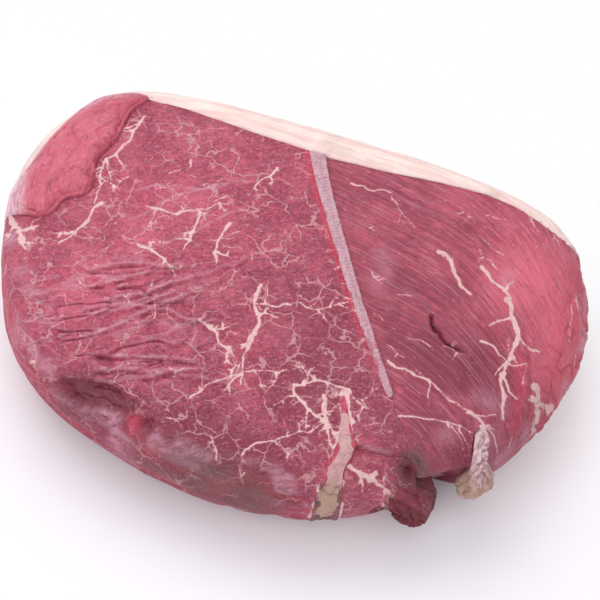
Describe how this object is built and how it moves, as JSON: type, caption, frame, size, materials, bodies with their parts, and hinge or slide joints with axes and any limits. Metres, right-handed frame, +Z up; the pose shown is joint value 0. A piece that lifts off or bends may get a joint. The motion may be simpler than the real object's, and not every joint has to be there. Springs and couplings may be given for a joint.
{
  "type": "raw beef roasting joint",
  "caption": "Boneless raw rump roasting joint of beef with a fat cap along one side, lying on a cut face.",
  "frame": {"origin": "middle of the underside, at the bottom centre of the joint's bounding box", "axes": "+Z up, away from the surface the joint lies on; +X along the joint's length; +Y towards the fat cap"},
  "size_m": [0.2825, 0.1837, 0.0612],
  "materials": {
    "main_lean": "raw lean beef cut across the grain, moist, finely marbled",
    "side_lean": "raw lean beef with long visible grain, moist",
    "cap_lean": "pink raw beef with a smooth wrinkled surface",
    "tail_lean": "dark raw beef, dried at its rolled end",
    "cap_fat": "cream white beef fat, faintly layered",
    "seam_fat": "pinkish white ribbed fat",
    "knot_fat": "pink to tan lumpy fat",
    "dry_fat": "tan dried lumpy fat"
  },
  "bodies": {
    "root": {"main_muscle": "main_lean", "side_muscle": "side_lean", "cap_muscle": "cap_lean", "tail_muscle": "tail_lean", "fat_cap": "cap_fat", "fat_seam": "seam_fat", "fat_knot": "knot_fat", "fat_tag": "dry_fat"}
  },
  "joints": []
}
